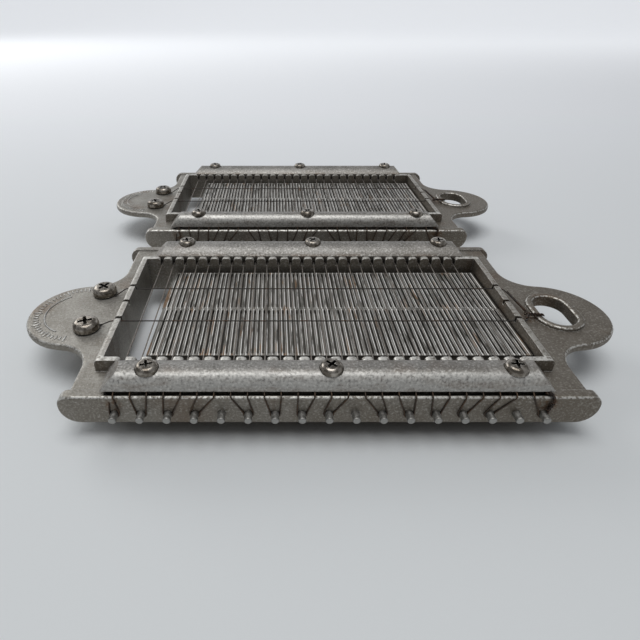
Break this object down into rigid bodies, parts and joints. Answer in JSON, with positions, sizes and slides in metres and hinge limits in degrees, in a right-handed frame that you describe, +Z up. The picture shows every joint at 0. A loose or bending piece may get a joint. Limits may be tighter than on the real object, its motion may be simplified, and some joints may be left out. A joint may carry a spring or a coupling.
{
  "type": "wire butter slicer",
  "caption": "Matched pair of cast frames strung with parallel cutting wires over ribbed beds, with clamp bars, wire pins and a finger hole in one ear.",
  "frame": {"origin": "on the table, midway between the two slicers", "axes": "+X along a slicer towards the ear with the finger hole, +Y from the near slicer to the far one, +Z up"},
  "size_m": [0.219, 0.2336, 0.0289],
  "materials": {
    "cast_frame": "weathered sand casting",
    "clamp_bar": "weathered, worn bright on the crest",
    "screw": "tarnished",
    "pin": "dull",
    "wire": "dark, lightly rusted",
    "ribbed_bed": "worn ribs, dark grooves"
  },
  "bodies": {
    "beds": {"near_bed_front_half": "ribbed_bed", "near_bed_rear_half": "ribbed_bed", "far_bed_front_half": "ribbed_bed", "far_bed_rear_half": "ribbed_bed"},
    "near_slicer": {"near_frame": "cast_frame", "near_front_clamp_bar": "clamp_bar", "near_rear_clamp_bar": "clamp_bar", "near_front_bar_screws": "screw", "near_rear_bar_screws": "screw", "near_anchor_screws": "screw", "near_front_wire_pins": "pin", "near_rear_wire_pins": "pin", "near_cross_wires": "wire", "near_long_wires": "wire"},
    "far_slicer": {"far_frame": "cast_frame", "far_front_clamp_bar": "clamp_bar", "far_rear_clamp_bar": "clamp_bar", "far_front_bar_screws": "screw", "far_rear_bar_screws": "screw", "far_anchor_screws": "screw", "far_front_wire_pins": "pin", "far_rear_wire_pins": "pin", "far_cross_wires": "wire", "far_long_wires": "wire"}
  },
  "joints": [
    {"name": "near_lift", "type": "slide", "parent": "beds", "child": "near_slicer", "axis": [0, 0, 1], "range_m": [0, 0.04]},
    {"name": "far_lift", "type": "slide", "parent": "beds", "child": "far_slicer", "axis": [0, 0, 1], "range_m": [0, 0.04]}
  ]
}
